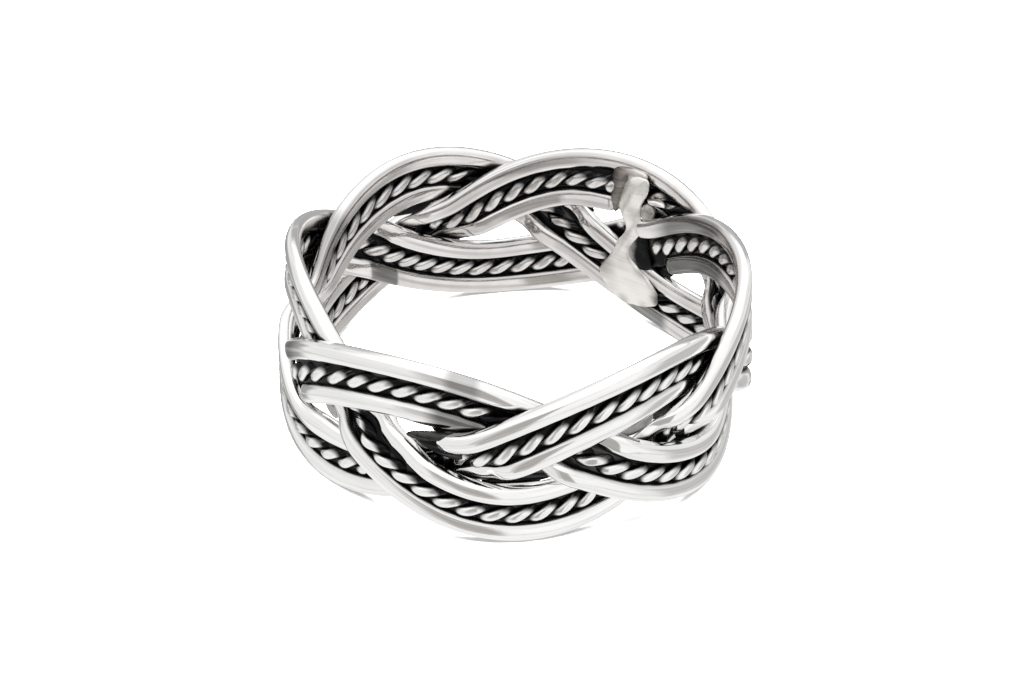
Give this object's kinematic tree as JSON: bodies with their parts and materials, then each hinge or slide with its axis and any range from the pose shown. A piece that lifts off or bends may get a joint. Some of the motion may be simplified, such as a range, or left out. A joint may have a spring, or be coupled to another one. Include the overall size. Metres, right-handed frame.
{
  "type": "braided band ring",
  "caption": "Finger ring made as an open flat plait of silver strands, each strand a twisted wire held between two plain wires, closed by a solder joint inside.",
  "frame": {"origin": "on the ring's axis, level with the lower edge of the band that it rests on", "axes": "+Z along the ring's axis, -Y towards the front of the picture, +X to the right"},
  "size_m": [0.0206, 0.0206, 0.0083],
  "materials": {
    "plain_wire_silver": "polished sterling silver with darkened grooves",
    "twisted_wire_silver": "sterling silver, polished on the high spots and blackened in the grooves",
    "solder_silver": "filed and brushed silver solder, slightly warm"
  },
  "bodies": {
    "root": {"strand_a_upper_wire": "plain_wire_silver", "strand_a_twisted_wire": "twisted_wire_silver", "strand_a_lower_wire": "plain_wire_silver", "strand_b_upper_wire": "plain_wire_silver", "strand_b_twisted_wire": "twisted_wire_silver", "strand_b_lower_wire": "plain_wire_silver", "strand_c_upper_wire": "plain_wire_silver", "strand_c_twisted_wire": "twisted_wire_silver", "strand_c_lower_wire": "plain_wire_silver", "solder_joint": "solder_silver"}
  },
  "joints": []
}
